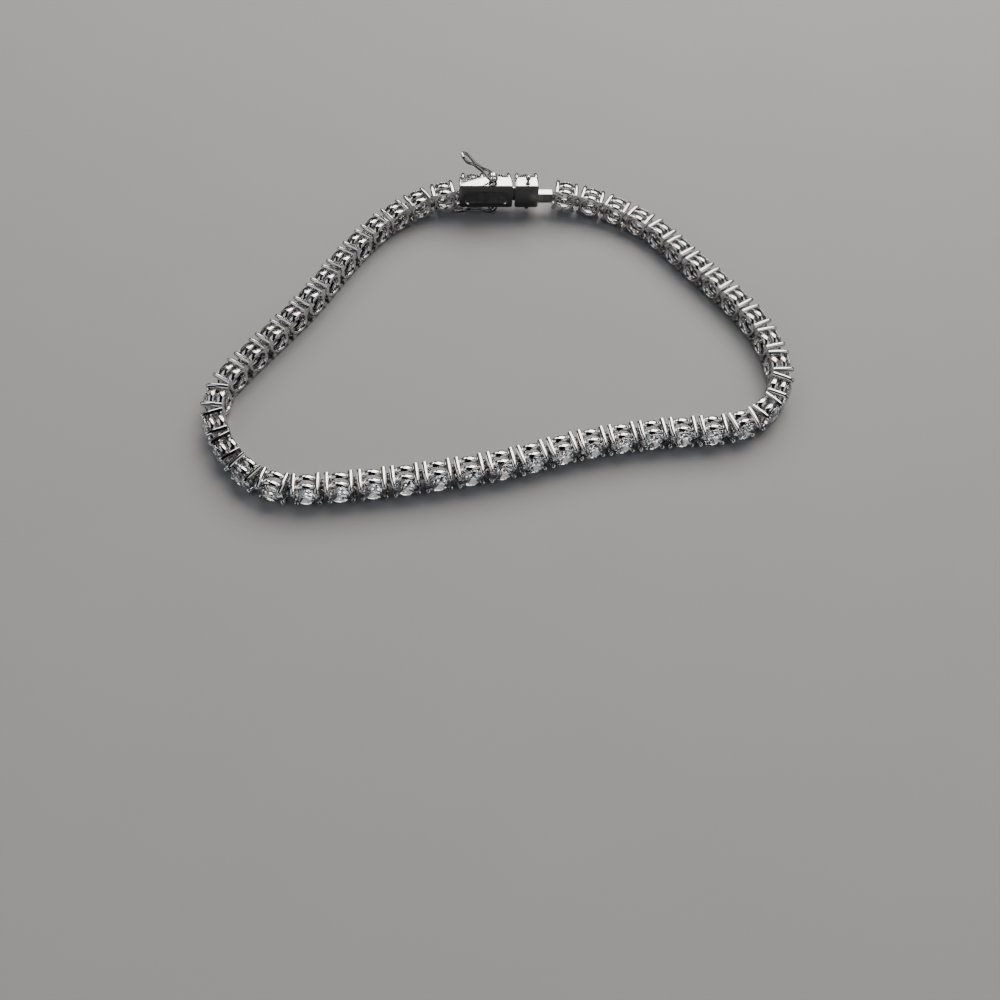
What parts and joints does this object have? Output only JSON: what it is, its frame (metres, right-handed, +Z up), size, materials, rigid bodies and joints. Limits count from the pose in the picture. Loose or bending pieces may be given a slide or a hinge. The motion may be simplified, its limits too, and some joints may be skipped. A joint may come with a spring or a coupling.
{
  "type": "tennis bracelet",
  "caption": "Flexible line of round stones in four-prong baskets, closed by a box clasp with two figure-of-eight safety latches, standing on its long edge.",
  "frame": {"origin": "centre of the bracelet's bounding box, on the surface that it stands on", "axes": "+Z up from the surface the bracelet stands on edge on, +X along the long straight front run to the right, +Y from the front run towards the clasp"},
  "size_m": [0.0758, 0.0558, 0.0102],
  "materials": {
    "silver": "bright polished white metal with fine wear scratches",
    "stone": "clear faceted stone, highly polished"
  },
  "bodies": {
    "bracelet": {"link_run_1": "silver", "link_run_2": "silver", "link_run_3": "silver", "link_run_4": "silver", "link_run_5": "silver", "link_run_6": "silver", "link_run_7": "silver", "stone_01": "stone", "stone_02": "stone", "stone_03": "stone", "stone_04": "stone", "stone_05": "stone", "stone_06": "stone", "stone_07": "stone", "stone_08": "stone", "stone_09": "stone", "stone_10": "stone", "stone_11": "stone", "stone_12": "stone", "stone_13": "stone", "stone_14": "stone", "stone_15": "stone", "stone_16": "stone", "stone_17": "stone", "stone_18": "stone", "stone_19": "stone", "stone_20": "stone", "stone_21": "stone", "stone_22": "stone", "stone_23": "stone", "stone_24": "stone", "stone_25": "stone", "stone_26": "stone", "stone_27": "stone", "stone_28": "stone", "stone_29": "stone", "stone_30": "stone", "stone_31": "stone", "stone_32": "stone", "stone_33": "stone", "stone_34": "stone", "stone_35": "stone", "stone_36": "stone", "stone_37": "stone", "stone_38": "stone", "stone_39": "stone", "stone_40": "stone", "stone_41": "stone", "stone_42": "stone", "stone_43": "stone", "stone_44": "stone", "stone_45": "stone", "stone_46": "stone", "clasp_box": "silver", "clasp_tongue": "silver", "clasp_stone_1": "stone", "clasp_stone_2": "stone", "clasp_stone_3": "stone"},
    "upper_latch": {"upper_latch": "silver"},
    "lower_latch": {"lower_latch": "silver"}
  },
  "joints": [
    {"name": "upper_latch_hinge", "type": "hinge", "parent": "bracelet", "child": "upper_latch", "pos_m": [-0.0034, 0.02473, 0.00585], "axis": [-0.0783, 0.9969, 0], "range_deg": [-35, 138]},
    {"name": "lower_latch_hinge", "type": "hinge", "parent": "bracelet", "child": "lower_latch", "pos_m": [-0.0034, 0.02473, 0.00075], "axis": [0.0783, -0.9969, 0], "range_deg": [0, 176]}
  ]
}
